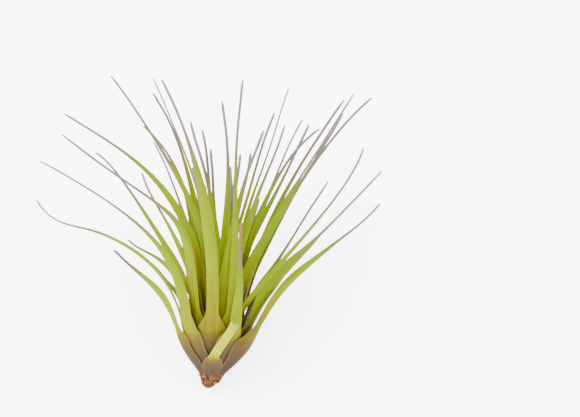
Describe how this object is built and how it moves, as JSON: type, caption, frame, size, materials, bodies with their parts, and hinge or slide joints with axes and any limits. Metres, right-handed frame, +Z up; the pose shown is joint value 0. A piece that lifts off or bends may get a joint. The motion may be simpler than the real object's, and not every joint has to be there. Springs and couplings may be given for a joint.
{
  "type": "air plant",
  "caption": "Bromeliad air plant picked and lying on its side: a bowl of brown leaf sheaths with a spray of stiff narrow yellow-green leaves and thin mauve tips.",
  "frame": {"origin": "on the table under the middle of the plant's box", "axes": "+Z up from the table, +Y along the growth as seen from above, +X to the right of it"},
  "size_m": [0.2036, 0.1712, 0.1316],
  "materials": {
    "leaf": "stiff scaly leaf, yellow-green, brown sheath, mauve tip",
    "stem": "rough orange-brown stub with dry fibres"
  },
  "bodies": {
    "root": {"stem": "stem", "leaf_right_1": "leaf", "leaf_right_2": "leaf", "leaf_right_3": "leaf", "leaf_right_4": "leaf", "leaf_right_5": "leaf", "leaf_right_6": "leaf", "leaf_front_right_1": "leaf", "leaf_front_right_2": "leaf", "leaf_front_right_3": "leaf", "leaf_front_right_4": "leaf", "leaf_front_right_5": "leaf", "leaf_front_right_6": "leaf", "leaf_front_1": "leaf", "leaf_front_2": "leaf", "leaf_front_3": "leaf", "leaf_front_4": "leaf", "leaf_front_5": "leaf", "leaf_front_6": "leaf", "leaf_front_left_1": "leaf", "leaf_front_left_2": "leaf", "leaf_front_left_3": "leaf", "leaf_front_left_4": "leaf", "leaf_front_left_5": "leaf", "leaf_front_left_6": "leaf", "leaf_left_1": "leaf", "leaf_left_2": "leaf", "leaf_left_3": "leaf", "leaf_left_4": "leaf", "leaf_left_5": "leaf", "leaf_left_6": "leaf", "leaf_back_left_1": "leaf", "leaf_back_left_2": "leaf", "leaf_back_left_3": "leaf", "leaf_back_left_4": "leaf", "leaf_back_left_5": "leaf", "leaf_back_left_6": "leaf", "leaf_back_1": "leaf", "leaf_back_2": "leaf", "leaf_back_3": "leaf", "leaf_back_4": "leaf", "leaf_back_5": "leaf", "leaf_back_6": "leaf", "leaf_back_right_1": "leaf", "leaf_back_right_2": "leaf", "leaf_back_right_3": "leaf", "leaf_back_right_4": "leaf", "leaf_back_right_5": "leaf", "leaf_back_right_6": "leaf"}
  },
  "joints": []
}
